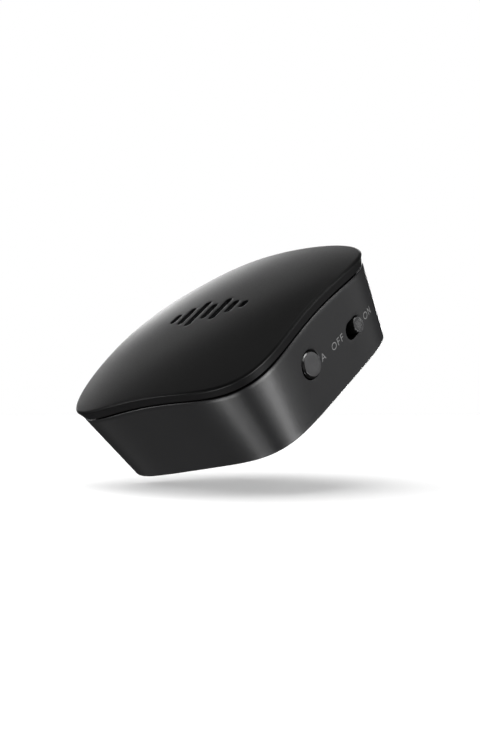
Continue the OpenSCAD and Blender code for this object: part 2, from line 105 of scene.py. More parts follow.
# Degrees round the lip, from level with its outermost line: where the dome begins, and the rings below
LIP_END = 75.0
LIP_TURNS = [65, 50, 35, 20, 5, -10, -22, -34]
DOME_THICK = 1.8
DOME_POWER = 2.7
# Spacing of the dome's faces and their distance from an opening, outside and inside
DOME_GRID, DOME_ROOM = 0.75, 0.2
INNER_GRID, INNER_ROOM = 1.5, 0.6
SKIRT_GAP = 0.15
SKIRT_THICK = 1.0
SKIRT_DEEP = 1.6
SKIRT_DRAFT = 0.34

# Screw posts and the recess for the rubber pad
POSTS = [(x, y) for x in (-17, 17) for y in (-17, 17)]
BOARD_BOTTOM = low_mm("circuit_board").z
BOARD_TOP = high_mm("circuit_board").z
POST_R = 2.3
BOSS_R = 2.8
SCREW_HOLE_R = 1.15
HEAD_RECESS_R = 2.15
HEAD_TOP = 2.7
PILOT_R = 0.85
PILOT_TOP = 13.0
PAD_TOP = high_mm("base_pad").z
PAD_HALF = high_mm("base_pad").x + 0.1
PAD_CORNER = 5.5

# Openings in the case's walls
BUTTON = middle_mm("button_a")
BUTTON_R = 2.8
BUTTON_CHAMFER = 0.34
# Rounded edges at the chamfer's back and front, as steps (along the axis, in radius)
CHAMFER_BACK = [(-0.08, 0), (-0.03, -0.01), (0.02, -0.05)]
CHAMFER_FRONT = [(-0.05, 0.04), (-0.01, -0.01), (0, -0.08)]
BUTTON_HOLE_R = 3.0
BUTTON_FACE = high_mm("button_a").x
BUTTON_BACK = low_mm("button_a").x
FLANGE_R = 3.6
FLANGE_THICK = 0.9
FLANGE_CHAMFER = 0.1
SWITCH = middle_mm("slide_frame")
SLOT_HALF = 2.9
SLOT_R = 1.85
KNOB_R = 1.65
KNOB_SEGMENTS = 96
KNOB_ROUND = 0.2
KNOB_RIM = 0.36
KNOB_DISH = 0.07
RIB_PITCH = 0.62
RIB_HALF = 0.11
RIB_RISE = 0.05
RIB_SHORT = 0.12
KNOB_Y = middle_mm("slide_actuator").y
KNOB_FACE = high_mm("switch_knob").x
SHUTTER = (low_mm("switch_knob"), high_mm("switch_knob"))
SHUTTER_THICK = 0.6
SNAP_THICK = 0.12
SNAP_TOP_R = 0.3
JACK = mount_mm("audio_jack")
JACK_HOLE_R = 3.3
USB = mount_mm("usb_port")
PIPE = middle_mm("light_pipe")
PIPE_HOLE_R = 1.15
HOLE_LIP = 0.16

# The sunk mark: upright bars of a sound level
BAR_R = 0.85
BAR_PITCH = 3.3
BAR_HEIGHTS = [3.4, 6.4, 9.4, 5.6, 8.0, 4.6, 2.6]
BAR_DEEP = 0.45
BAR_LIP = 0.14
BAR_FOOT = 0.1
MARK = Vector((-1.5, 2.0))

# Printed legends
CAP_HEIGHT = 1.52
STROKE = 0.13
INK_THICK = 0.02
INK_ROOT = 0.1

# The small rounded edges of the pieces that keep their CAD shape
SOFT_EDGE = 0.06

# ---- Outlines of the enclosure ----


def square_radius(square, degrees):
    """Radius of a rounded square of half-width 1 at an angle."""
    a = math.radians(degrees)
    return (abs(math.cos(a)) ** square + abs(math.sin(a)) ** square) ** (-1 / square)


def on_outline(half, square, degrees, z):
    r = half * square_radius(square, degrees)
    a = math.radians(degrees)
    return Vector((r * math.cos(a), r * math.sin(a), z))


def crease(degrees):
    """Height of the arched crease between the dome and the side band."""
    r = COVER * square_radius(COVER_SQUARE, degrees)
    return CREASE - (r * r - COVER * COVER) / (2 * ARCH)


def seam(degrees):
    return crease(degrees) - BAND


def seam_point(half, degrees, rise):
    return on_outline(half, COVER_SQUARE, degrees, seam(degrees) + rise)


# The outlines start at the plain corner at the front left
START = 225.0
ANGLES = [START + 360 * i / SEGMENTS for i in range(SEGMENTS)]


def rounded(u, v, half_u, half_v, r, per_corner=16, spacing=0.5):
    """A rounded rectangle, or a circle where the halves are r: a function of how far it grows."""
    quarter = [90 * (k + 0.5) / per_corner for k in range(per_corner)]
    corners = [(1, 1, 0, half_u - r), (-1, 1, 90, half_v - r),
               (-1, -1, 180, half_u - r), (1, -1, 270, half_v - r)]

    def outline(grow=0.0):
        points = []
        for su, sv, turn, straight in corners:
            cu, cv = u + su * (half_u - r), v + sv * (half_v - r)
            for q in quarter:
                a = math.radians(turn + q)
                points.append(Vector((cu + (r + grow) * math.cos(a), cv + (r + grow) * math.sin(a))))
            steps = int(2 * straight / spacing)
            a = math.radians(turn + 90)
            begin = Vector((cu + (r + grow) * math.cos(a), cv + (r + grow) * math.sin(a)))
            run = Vector((-math.sin(a), math.cos(a))) * 2 * straight
            points += [begin + run * (k + 1) / (steps + 1) for k in range(steps)]
        return points

    return outline


def inside(points, polygon):
    """Which of the flat points lie inside the polygon."""
    p, q = np.asarray(points, float), np.asarray(polygon, float)
    found = np.zeros(len(p), bool)
    for (x0, y0), (x1, y1) in zip(q, np.roll(q, -1, 0)):
        if y0 != y1:
            crosses = (y0 > p[:, 1]) != (y1 > p[:, 1])
            found ^= crosses & (p[:, 0] < (x1 - x0) * (p[:, 1] - y0) / (y1 - y0) + x0)
    return found


# ---- Meshes ----


class Skin:
    """Points in millimetres and the faces between them, which become one mesh of closed shells."""

    def __init__(self):
        self.points = []
        self.faces = []
        self.finishes = []
        self.finish = 0

    def loop(self, points):
        start = len(self.points)
        self.points += [Vector(p).to_3d() for p in points]
        return list(range(start, len(self.points)))

    def face(self, corners):
        self.faces.append(tuple(corners))
        self.finishes.append(self.finish)

    def strip(self, a, b):
        """Four-sided faces between two closed loops of the same length."""
        for i in range(len(a)):
            j = (i + 1) % len(a)
            self.face((a[i], a[j], b[j], b[i]))

    def run(self, first, rings):
        """Strips from one loop through a list of rings. Returns the last loop."""
        for ring in rings:
            following = self.loop(ring)
            self.strip(first, following)
            first = following
        return first

    def tube(self, rings):
        """A closed solid through rings of points, capped at both ends."""
        first = self.loop(rings[0])
        last = self.run(first, rings[1:])
        self.face(first)
        self.face(last)

    def sheet(self, outline, holes=(), spots=(), place=None):
        """Triangles inside an outline and outside its holes. Both are lists of (index, flat point)."""
        border = [pair for loop in (outline, *holes) for pair in loop]
        flat = [Vector(uv) for _, uv in border] + [Vector(s) for s in spots]
        names = [i for i, _ in border] + (self.loop([place(s) for s in spots]) if spots else [])
        ties = []
        start = 0
        for loop in (outline, *holes):
            ties += [(start + i, start + (i + 1) % len(loop)) for i in range(len(loop))]
            start += len(loop)
        at, _, triangles, origins, _, _ = delaunay_2d_cdt(flat, ties, [], 0, 1e-7)
        centres = np.array([sum((at[i] for i in t), Vector((0, 0))) / 3 for t in triangles])
        keep = inside(centres, [uv for _, uv in outline])
        for hole in holes:
            keep &= ~inside(centres, [uv for _, uv in hole])
        for triangle, kept in zip(triangles, keep):
            corners = [names[origins[i][0]] for i in triangle]
            if kept and len(set(corners)) == 3:
                self.face(corners)

    def plan(self, loop):
        """The loop as pairs of (index, flat point), seen from above."""
        return [(i, self.points[i].xy) for i in loop]

    def level(self, outline, holes=()):
        """A flat sheet seen from above."""
        self.sheet(self.plan(outline), [self.plan(hole) for hole in holes])

    def build(self, name, materials, sharp=38):
        mesh = bpy.data.meshes.new(name)
        mesh.from_pydata([p * MM for p in self.points], [], self.faces)
        for m in materials:
            mesh.materials.append(m)
        mesh.polygons.foreach_set("material_index", self.finishes)
        work = bmesh.new()
        work.from_mesh(mesh)
        bmesh.ops.recalc_face_normals(work, faces=work.faces)
        work.to_mesh(mesh)
        work.free()
        mesh.shade_smooth()
        mesh.set_sharp_from_angle(angle=math.radians(sharp))
        piece = bpy.data.objects.new(name, mesh)
        bpy.context.scene.collection.objects.link(piece)
        weigh = piece.modifiers.new("weigh", "WEIGHTED_NORMAL")
        weigh.keep_sharp = True
        return piece


def quarter_turn(steps):
    """Pairs of cosine and sine from 0 to 90 degrees, without the first."""
    angles = [math.pi / 2 * (k + 1) / steps for k in range(steps)]
    return [(math.cos(a), math.sin(a)) for a in angles]


# ---- Walls with openings ----


class Wall:
    """A ruled wall between a low and a high ring, each a function of the angle in degrees."""

    # Rows of faces, and the flat chart's size: across for one degree, and from bottom to top
    ROWS = 20
    ARC = 0.5
    TALL = 17.0
    # How far the even grid stays from an opening, and the rounds that settle a point
    ROOM = 0.3
    SETTLE = 40

    def __init__(self, low, high):
        self.low = low
        self.high = high

    def at(self, degrees, t):
        return self.low(degrees).lerp(self.high(degrees), t)

    def seek(self, side, s, z):
        """Angle and share of the height of the point s along a side, at a height."""
        degrees, t = 0.0, 0.5
        for _ in range(self.SETTLE):
            degrees = math.degrees(math.atan2(s, self.at(degrees, t).x))
            bottom, top = self.low(degrees).z, self.high(degrees).z
            t = (z - bottom) / (top - bottom)
        return side + degrees, t

    def point(self, side, s, z, deep=0.0):
        """The point s along a side at a height, moved into the wall."""
        out = Vector((math.cos(math.radians(side)), math.sin(math.radians(side)), 0))
        return self.at(*self.seek(side, s, z)) - out * deep

    def flat(self, degrees, t):
        return ((degrees - START) % 360 * self.ARC, t * self.TALL)

    def sheet(self, skin, low, high, holes):
        """Fills the wall between its rings. holes are (side, outline, grow, loop)."""
        rows = range(1, self.ROWS)
        column = skin.loop([self.at(START, j / self.ROWS) for j in rows])
        wide = 360 * self.ARC
        across = [(low[i % SEGMENTS], (wide * i / SEGMENTS, 0)) for i in range(SEGMENTS + 1)]
        back = [(high[i % SEGMENTS], (wide * i / SEGMENTS, self.TALL)) for i in range(SEGMENTS, -1, -1)]
        up = [(column[j - 1], (wide, self.TALL * j / self.ROWS)) for j in rows]
        down = [(column[j - 1], (0, self.TALL * j / self.ROWS)) for j in reversed(rows)]
        loops, rooms = [], []
        for side, outline, grow, loop in holes:
            uv = [self.flat(*self.seek(side, s, z)) for s, z in outline(grow)]
            loops.append(list(zip(loop, uv)))
            rooms.append([self.flat(*self.seek(side, s, z)) for s, z in outline(grow + self.ROOM)])
        grid = [(wide * i / SEGMENTS, self.TALL * j / self.ROWS) for i in range(1, SEGMENTS) for j in rows]
        clear = np.ones(len(grid), bool)
        for room in rooms:
            clear &= ~inside(grid, room)
        spots = [g for g, c in zip(grid, clear) if c]
        skin.sheet(across + up + back + down, loops, spots,
                   lambda g: self.at(START + g[0] / self.ARC, g[1] / self.TALL))


RIGHT, BACK, LEFT = 0, 90, 180


def case_openings():
    """Each opening: its side, its outline in (along the side, height), going round with the angle."""
    return [
        (RIGHT, rounded(BUTTON.y, BUTTON.z, *[BUTTON_HOLE_R] * 3)),
        (RIGHT, rounded(SWITCH.y, SWITCH.z, SLOT_HALF, SLOT_R, SLOT_R)),
        (BACK, rounded(-JACK.x, JACK.z, *[JACK_HOLE_R] * 3)),
        (BACK, rounded(-PIPE.x, PIPE.z, *[PIPE_HOLE_R] * 3, per_corner=10)),
        (BACK, rounded(-USB.x, USB.z, 4.2, 1.75, 0.8)),
        (LEFT, rounded(-BUTTON.y, BUTTON.z, *[BUTTON_HOLE_R] * 3)),
    ]


def outer_wall():
    lean = (SEAM - BASE) / (seam(0) - BOTTOM)
    start = BASE + lean * EDGE

    def low(degrees):
        return on_outline(start, BASE_SQUARE, degrees, BOTTOM + EDGE)

    def high(degrees):
        return seam_point(SEAM - RIM_INSET, degrees, -GAP / 2 - RIM_ROUND)

    return Wall(low, high)


def inner_wall():
    lean = (SEAM - BASE) / (seam(0) - BOTTOM)
    start = BASE + lean * (FLOOR - BOTTOM) - WALL

    def low(degrees):
        return on_outline(start, BASE_SQUARE, degrees, FLOOR)

    def high(degrees):
        return seam_point(SEAM - WALL, degrees, -GAP / 2)

    return Wall(low, high)


def circles(r, z, count=48):
    """A circle round each screw post."""
    turns = [2 * math.pi * k / count for k in range(count)]
    return [[(x + r * math.cos(a), y + r * math.sin(a), z) for a in turns] for x, y in POSTS]


def lower_case(finish):
    skin = Skin()
    outer, inner = outer_wall(), inner_wall()
    # Underside and the rounded edge up to the wall
    start = outer.low(0).x - EDGE
    bottom = skin.loop([on_outline(start, BASE_SQUARE, a, BOTTOM) for a in ANGLES])
    low = skin.run(bottom, [
        [on_outline(start + EDGE * s, BASE_SQUARE, a, BOTTOM + EDGE * (1 - c)) for a in ANGLES]
        for c, s in quarter_turn(7)])
    # Rim at the seam
    high = skin.loop([outer.high(a) for a in ANGLES])
    inner_high = skin.run(high, [
        [seam_point(SEAM - RIM_INSET - RIM_ROUND * (1 - c), a, -GAP / 2 - RIM_ROUND * (1 - s))
         for a in ANGLES]
        for c, s in quarter_turn(4)] + [[inner.high(a) for a in ANGLES]])
    inner_low = skin.loop([inner.low(a) for a in ANGLES])
    # Openings with rounded lips
    outside, within = [], []
    for side, outline in case_openings():
        first = skin.loop([outer.point(side, s, z) for s, z in outline(HOLE_LIP)])
        rings = [[outer.point(side, s, z, HOLE_LIP * (1 - c)) for s, z in outline(HOLE_LIP * (1 - sn))]
                 for c, sn in quarter_turn(5)]
        rings.append([inner.point(side, s, z) for s, z in outline()])
        last = skin.run(first, rings)
        outside.append((side, outline, HOLE_LIP, first))
        within.append((side, outline, 0.0, last))
    outer.sheet(skin, low, high, outside)
    inner.sheet(skin, inner_low, inner_high, within)
    # Recess for the pad, the screws' head recesses, and the bosses inside
    recess = rounded(0, 0, PAD_HALF, PAD_HALF, PAD_CORNER, per_corner=12, spacing=2)()
    mouth = skin.loop([(p.x, p.y, BOTTOM) for p in recess])
    ceiling = skin.run(mouth, [[(p.x, p.y, PAD_TOP) for p in recess]])
    skin.level(bottom, [mouth])
    heads = [skin.loop(ring) for ring in circles(HEAD_RECESS_R, PAD_TOP)]
    skin.level(ceiling, heads)
    feet = []
    for k, head in enumerate(heads):
        steps = [(HEAD_RECESS_R, HEAD_TOP), (SCREW_HOLE_R, HEAD_TOP), (SCREW_HOLE_R, BOARD_BOTTOM),
                 (BOSS_R, BOARD_BOTTOM), (BOSS_R, FLOOR)]
        feet.append(skin.run(head, [circles(r, z)[k] for r, z in steps]))
    skin.level(inner_low, feet)
    return skin.build("case_shell", [finish])


# ---- Lid ----


def lip_point(degrees, turn):
    """A point of the rounded lip; turn goes from below the outermost line up to the dome."""
    t = math.radians(turn)
    half = COVER - LIP * (1 - math.cos(t))
    return on_outline(half, COVER_SQUARE, degrees, crease(degrees) + LIP_RISE * math.sin(t))


def on_dome(x, y):
    """The point of the dome's outside above a flat point."""
    degrees = math.degrees(math.atan2(y, x))
    edge = lip_point(degrees, LIP_END)
    share = math.hypot(x, y) / math.hypot(edge.x, edge.y)
    return Vector((x, y, CROWN + (edge.z - CROWN) * share ** DOME_POWER))


def under_dome(x, y):
    """The point of the dome's underside above a flat point."""
    half = SEAM - WALL - SKIRT_GAP - SKIRT_THICK
    degrees = math.degrees(math.atan2(y, x))
    rim = crease(degrees) - DOME_THICK
    share = math.hypot(x, y) / (half * square_radius(COVER_SQUARE, degrees))
    return Vector((x, y, CROWN - DOME_THICK + (rim - CROWN + DOME_THICK) * share ** DOME_POWER))


def polar_spots(half, spacing):
    """Flat points in rings, as far from each other as the spacing, inside a cover-shaped outline."""
    rings = int(half / spacing)
    spots = [Vector((0, 0))]
    for k in range(1, rings):
        count = 8 * k
        turns = [360 * (i + 0.5 * (k % 2)) / count for i in range(count)]
        spots += [on_outline(half * k / rings, COVER_SQUARE, a, 0).xy for a in turns]
    return spots


def clear_of(spots, outlines):
    keep = np.ones(len(spots), bool)
    for outline in outlines:
        keep &= ~inside(spots, outline)
    return [s for s, k in zip(spots, keep) if k]


def mark_bars():
    middle = (len(BAR_HEIGHTS) - 1) / 2
    return [rounded(MARK.x + (i - middle) * BAR_PITCH, MARK.y, BAR_R, tall / 2, BAR_R, spacing=0.4)
            for i, tall in enumerate(BAR_HEIGHTS)]


def sunk_bar(skin, bar):
    """One bar of the mark, from its rounded edge on the dome to its floor. Returns its first loop."""
    def ring(grow, deep):
        return [on_dome(p.x, p.y) - Vector((0, 0, deep)) for p in bar(grow)]
    first = skin.loop(ring(BAR_LIP, 0))
    edge = [ring(BAR_LIP * (1 - s), BAR_LIP * (1 - c)) for c, s in quarter_turn(4)]
    foot = [ring(-BAR_FOOT * (1 - c), BAR_DEEP - BAR_FOOT * (1 - s)) for c, s in quarter_turn(3)]
    last = skin.run(first, edge + [ring(0, BAR_DEEP - BAR_FOOT)] + foot)
    skin.finish = 1
    skin.sheet(skin.plan(last), (), bar(-BAR_R * 0.55), lambda p: on_dome(*p) - Vector((0, 0, BAR_DEEP)))
    skin.finish = 0
    return first


def top_cover(finish, mark_finish):
    skin = Skin()
    # Dome with the sunk mark
    rim = skin.loop([lip_point(a, LIP_END) for a in ANGLES])
    bars = mark_bars()
    mouths = [sunk_bar(skin, bar) for bar in bars]
    half = max(skin.points[i].x for i in rim)
    spots = clear_of(polar_spots(half, DOME_GRID), [bar(BAR_LIP + DOME_ROOM) for bar in bars])
    skin.sheet(skin.plan(rim), [skin.plan(mouth) for mouth in mouths], spots, lambda p: on_dome(*p))
    # Lip, side band and the skirt that fits inside the case
    inner = SEAM - WALL - SKIRT_GAP
    rings = [[lip_point(a, t) for a in ANGLES] for t in LIP_TURNS]
    rings += [[seam_point(SEAM + 0.05, a, GAP / 2 + 0.12) for a in ANGLES],
              [seam_point(SEAM + 0.01, a, GAP / 2 + 0.03) for a in ANGLES],
              [seam_point(SEAM - 0.08, a, GAP / 2) for a in ANGLES],
              [seam_point(inner, a, GAP / 2) for a in ANGLES],
              [seam_point(inner - SKIRT_DRAFT, a, -SKIRT_DEEP) for a in ANGLES],
              [seam_point(inner - SKIRT_THICK, a, -SKIRT_DEEP) for a in ANGLES],
              [on_outline(inner - SKIRT_THICK, COVER_SQUARE, a, crease(a) - DOME_THICK) for a in ANGLES]]
    hollow = skin.run(rim, rings)
    # Underside of the dome and the screw posts
    roots = [skin.loop([under_dome(x, y) for x, y, _ in ring]) for ring in circles(POST_R, 0)]
    for k, root in enumerate(roots):
        steps = [(POST_R, BOARD_TOP), (PILOT_R, BOARD_TOP), (PILOT_R, PILOT_TOP)]
        skin.face(skin.run(root, [circles(r, z)[k] for r, z in steps]))
    near_posts = [[p[:2] for p in ring] for ring in circles(POST_R + INNER_ROOM, 0)]
    spots = clear_of(polar_spots(inner - SKIRT_THICK, INNER_GRID), near_posts)
    skin.sheet(skin.plan(hollow), [skin.plan(root) for root in roots], spots, lambda p: under_dome(*p))
    return skin.build("lid_shell", [finish, mark_finish])


# ---- Controls ----


def lathe_x(skin, profile, y, z, mirror=1, count=KNOB_SEGMENTS):
    """A closed solid turned about an axis along X. profile is a list of (x, radius)."""
    turns = [2 * math.pi * k / count for k in range(count)]
    skin.tube([[(mirror * x, y + r * math.cos(a), z + r * math.sin(a)) for a in turns] for x, r in profile])


def round_over(x, r, size, steps=6):
    """The points of a rounded front edge whose outside is at x and r."""
    return [(x - size * (1 - s), r - size * (1 - c)) for c, s in quarter_turn(steps)]


def push_button(name, mirror, finish, side_painted_shade):
    """A face inside a glossy chamfer, and the flange that keeps the button in the case. Flange, side and
    chamfer get a near-black finish, painted shade; the chamfer's gloss still takes a highlight.
    """
    skin = Skin()
    flange = BUTTON_BACK + FLANGE_THICK
    face_r = BUTTON_R - BUTTON_CHAMFER
    back_x = BUTTON_FACE - BUTTON_CHAMFER
    chamfered = FLANGE_R - FLANGE_CHAMFER
    profile = [(BUTTON_BACK, chamfered), (BUTTON_BACK + FLANGE_CHAMFER, FLANGE_R),
               (flange - FLANGE_CHAMFER, FLANGE_R), (flange, chamfered), (flange, BUTTON_R)]
    profile += [(back_x + along, BUTTON_R + out) for along, out in CHAMFER_BACK]
    profile += [(BUTTON_FACE + along, face_r + out) for along, out in CHAMFER_FRONT]
    sides = (len(profile) - 2) * KNOB_SEGMENTS
    # The face dips slightly toward its middle
    profile += [(BUTTON_FACE - 0.02, face_r * 0.6), (BUTTON_FACE - 0.03, 0.3)]
    lathe_x(skin, profile, BUTTON.y, BUTTON.z, mirror)
    # The flange, side and chamfer take the near-black finish: painted shade
    skin.finishes[:sides] = [1] * sides
    return skin.build(name, [finish, side_painted_shade])


def block(skin, low, high, bevel=0.08):
    """A box with chamfered edges, drawn as rings along X."""
    u, v = (low[1] + high[1]) / 2, (low[2] + high[2]) / 2
    outline = rounded(u, v, (high[1] - low[1]) / 2, (high[2] - low[2]) / 2, 0.3, per_corner=4, spacing=9)
    stations = [(low[0], -bevel), (low[0] + bevel, 0), (high[0] - bevel, 0), (high[0], -bevel)]
    skin.tube([[(x, p.x, p.y) for p in outline(grow)] for x, grow in stations])


def slide_knob(finish, shutter_painted_shade):
    skin = Skin()
    low, high = SHUTTER
    # The shutter in the slot takes the near-black finish: painted shade
    skin.finish = 1
    block(skin, low, (low.x + SHUTTER_THICK, high.y, high.z))
    skin.finish = 0
    # Round knob with a raised rim round a sunk face. Its side and the outer part of its rounded edge are
    # painted near-black as shade, like the shutter
    floor = KNOB_FACE - KNOB_DISH
    dish = KNOB_R - KNOB_RIM
    profile = [(low.x + SHUTTER_THICK - KNOB_ROUND, KNOB_R), (KNOB_FACE - KNOB_ROUND, KNOB_R)]
    profile += round_over(KNOB_FACE, KNOB_R, KNOB_ROUND)
    profile += [(KNOB_FACE - 0.03, dish), (floor, dish - KNOB_DISH), (floor, 0.2)]
    first = len(skin.faces)
    lathe_x(skin, profile, KNOB_Y, SWITCH.z)
    dark = 5 * KNOB_SEGMENTS
    skin.finishes[first:first + dark] = [1] * dark
    # Upright grip ribs on the face
    for k in (-1, 0, 1):
        y = KNOB_Y + RIB_PITCH * k
        reach = math.sqrt((dish - RIB_SHORT) ** 2 - (RIB_PITCH * k) ** 2)
        arc = [(math.cos(math.pi * j / 8), math.sin(math.pi * j / 8)) for j in range(9)]
        section = [(floor - RIB_RISE, -RIB_HALF), (floor - RIB_RISE, RIB_HALF)]
        section += [(floor + RIB_RISE * s, RIB_HALF * c) for c, s in arc]
        rings = [[(x, y + dy, SWITCH.z + end) for x, dy in section] for end in (-reach, reach)]
        skin.tube(rings)
    return skin.build("switch_slider", [finish, shutter_painted_shade])


# ---- Snap domes under the buttons' stems ----


def snap_dome(letter, mirror, finish):
    """A thin steel dome that stands on its rim, drawn at rest; a real one flattens as its button goes in.
    """
    node = f"tact_{letter}_dome"
    low, high = low_mm(node), high_mm(node)
    rise = high.x - low.x
    rim_r = (high.y - low.y) / 2
    foot = min(abs(low.x), abs(high.x))
    ball_r = (rim_r ** 2 + rise ** 2) / (2 * rise)
    hollow_r = math.sqrt((ball_r - SNAP_THICK) ** 2 - (ball_r - rise) ** 2)

    def arc(radius, r_from, r_to, steps=10):
        radii = [r_from + (r_to - r_from) * k / steps for k in range(steps + 1)]
        return [(foot + rise - ball_r + math.sqrt(radius ** 2 - r * r), r) for r in radii]

    skin = Skin()
    profile = arc(ball_r - SNAP_THICK, SNAP_TOP_R, hollow_r) + arc(ball_r, rim_r, SNAP_TOP_R)
    lathe_x(skin, profile, BUTTON.y, BUTTON.z, mirror, 64)
    piece = skin.build(f"snap_dome_{letter}", [finish])
    show(piece, "receiver", "tinned_steel", node)
    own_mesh(piece)


# ---- Printed legends ----


def letter_a(w):
    lean = 0.45
    wide = 1.02
    bar = 0.27
    outer = [(0, 0), (w, 0), (w + lean * bar, bar), (wide - w - lean * bar, bar), (wide - w, 0), (wide, 0),
             (wide - lean, 1), (lean, 1)]
    top = (wide / 2 - w) / lean
    hole_low = bar + w
    hole = [(w + lean * hole_low, hole_low), (wide - w - lean * hole_low, hole_low), (wide / 2, top)]
    return wide, outer, [hole]


def letter_f(w):
    wide = 0.58
    return wide, [(0, 0), (w, 0), (w, 0.45), (0.52, 0.45), (0.52, 0.45 + w), (w, 0.45 + w), (w, 1 - w),
                  (wide, 1 - w), (wide, 1), (0, 1)], []


def letter_n(w):
    wide = 0.76
    drop = 1.55 * w
    return wide, [(0, 0), (w, 0), (w, 1 - drop), (wide - w, 0), (wide, 0), (wide, 1), (wide - w, 1),
                  (wide - w, drop), (w, 1), (0, 1)], []


def letter_o(w):
    wide = 1.14
    turns = [2 * math.pi * k / 48 for k in range(48)]

    def ring(shrink):
        half_u, half_v = wide / 2 - shrink, 0.5 - shrink
        return [(wide / 2 + half_u * math.cos(a), 0.5 + half_v * math.sin(a)) for a in turns]

    return wide, ring(0), [ring(w)]


def finely(points, step=0.12):
    """The outline with long edges divided, so that it follows a curved wall."""
    fine = []
    for a, b in zip(points, points[1:] + points[:1]):
        a, b = Vector(a), Vector(b)
        count = max(1, int((b - a).length / step))
        fine += [a.lerp(b, k / count) for k in range(count)]
    return fine


def legend(name, letters, y, z, track, finish):
    """Thin printed letters that follow the right wall, reading towards +Y, with track between them."""
    skin = Skin()
    wall = outer_wall()
    for letter in letters:
        wide, outer, holes = letter(STROKE)
        loops = [finely(loop) for loop in [outer, *holes]]

        def ring(loop, deep):
            return [wall.point(RIGHT, y + CAP_HEIGHT * p.x, z + CAP_HEIGHT * p.y, deep) for p in loop]

        faces = []
        for deep in (-INK_THICK, INK_ROOT):
            ids = [skin.loop(ring(loop, deep)) for loop in loops]
            pairs = [list(zip(i, loop)) for i, loop in zip(ids, loops)]
            skin.sheet(pairs[0], pairs[1:])
            faces.append(ids)
        for front, back in zip(*faces):
            skin.strip(front, back)
        y += CAP_HEIGHT * wide + track
    return skin.build(name, [finish])


# ---- Materials ----


class Nodes:
    """A short way to write a material's nodes."""

    def __init__(self, name):
        self.material = bpy.data.materials.new(name)
        self.material.use_nodes = True
        self.tree = self.material.node_tree
        self.shader = self.tree.nodes["Principled BSDF"]
        self.object = self.add("ShaderNodeTexCoord").outputs["Object"]

    def add(self, kind, **inputs):
        node = self.tree.nodes.new(kind)
        for key, value in inputs.items():
            self.put(value, node.inputs[key.replace("_", " ")])
        return node

    def put(self, value, socket):
        if isinstance(value, bpy.types.NodeSocket):
            self.tree.links.new(value, socket)
        else:
            socket.default_value = value

    def stretch(self, x, y, z):
        mapping = self.add("ShaderNodeMapping", Vector=self.object)
        mapping.inputs["Scale"].default_value = (x, y, z)
        return mapping.outputs["Vector"]

    def noise(self, size_mm, detail=2.0, roughness=0.5, where=None):
        """Noise whose blobs are about size_mm wide."""
        node = self.add("ShaderNodeTexNoise", Vector=where or self.object, Scale=1 / (size_mm * MM),
                        Detail=detail, Roughness=roughness)
        return node.outputs["Fac"]

    def spread(self, value, low, high, start=0.3, end=0.7):
        node = self.add("ShaderNodeMapRange", Value=value, From_Min=start, From_Max=end,
                        To_Min=low, To_Max=high)
        return node.outputs["Result"]

    def mix(self, share, a, b):
        node = self.tree.nodes.new("ShaderNodeMix")
        node.data_type = "RGBA"
        self.put(share, node.inputs["Factor"])
        self.put(a, node.inputs["A"])
        self.put(b, node.inputs["B"])
        return node.outputs["Result"]

    def bump(self, height, deep_mm, below=None):
        node = self.add("ShaderNodeBump", Height=height, Distance=deep_mm * MM, Strength=1.0)
        if below:
            self.put(below, node.inputs["Normal"])
        return node.outputs["Normal"]

    def edges(self, width=0.02):
        """1 on convex edges, where handling polishes the surface, and 0 elsewhere."""
        point = self.add("ShaderNodeNewGeometry").outputs["Pointiness"]
        return self.spread(point, 0.0, 1.0, 0.5 + width, 0.5 + 4 * width)

    def set(self, **inputs):
        for key, value in inputs.items():
            self.put(value, self.shader.inputs[key.replace("_", " ")])


def shade(colour, factor):
    return (*[c * factor for c in colour[:3]], 1.0)


def moulded(name, colour, roughness, grain_mm=0.12, grain_deep=0.003, worn=1.5, blotch=0.04,
            specular=0.5):
    """Moulded plastic: fine grain, slow changes of tone and gloss, and lighter edges."""
    n = Nodes(name)
    tone = n.mix(n.spread(n.noise(7.0), 0, 1), shade(colour, 1 - blotch), shade(colour, 1 + blotch))
    speck = n.mix(n.spread(n.noise(0.25, 3), 0, 0.35), tone, shade(colour, 1.35))
    n.set(Base_Color=n.mix(n.edges(), speck, shade(colour, worn)))
    n.set(Roughness=n.spread(n.noise(0.4, 4), roughness - 0.02, roughness + 0.02))
    n.set(Normal=n.bump(n.noise(grain_mm, 3), grain_deep))
    n.set(Specular_IOR_Level=specular)
    return n.material


def metal(name, colour, roughness, brushed=(1, 1, 12)):
    """Plated sheet or wire: drawn lines and stains in the gloss."""
    n = Nodes(name)
    lines = n.noise(0.6, 4, where=n.stretch(*brushed))
    n.set(Metallic=1.0)
    n.set(Base_Color=n.mix(n.spread(n.noise(1.5, 4), 0, 1), shade(colour, 0.82), shade(colour, 1.05)))
    n.set(Roughness=n.spread(lines, roughness - 0.08, roughness + 0.1))
    n.set(Normal=n.bump(lines, 0.003))
    return n.material


def rubber(name, colour):
    n = Nodes(name)
    pores = n.noise(0.35, 5, 0.7)
    n.set(Base_Color=n.mix(n.spread(n.noise(4.0), 0, 1), shade(colour, 0.8), shade(colour, 1.3)))
    n.set(Roughness=n.spread(pores, 0.75, 0.95))
    n.set(Normal=n.bump(pores, 0.02))
    return n.material


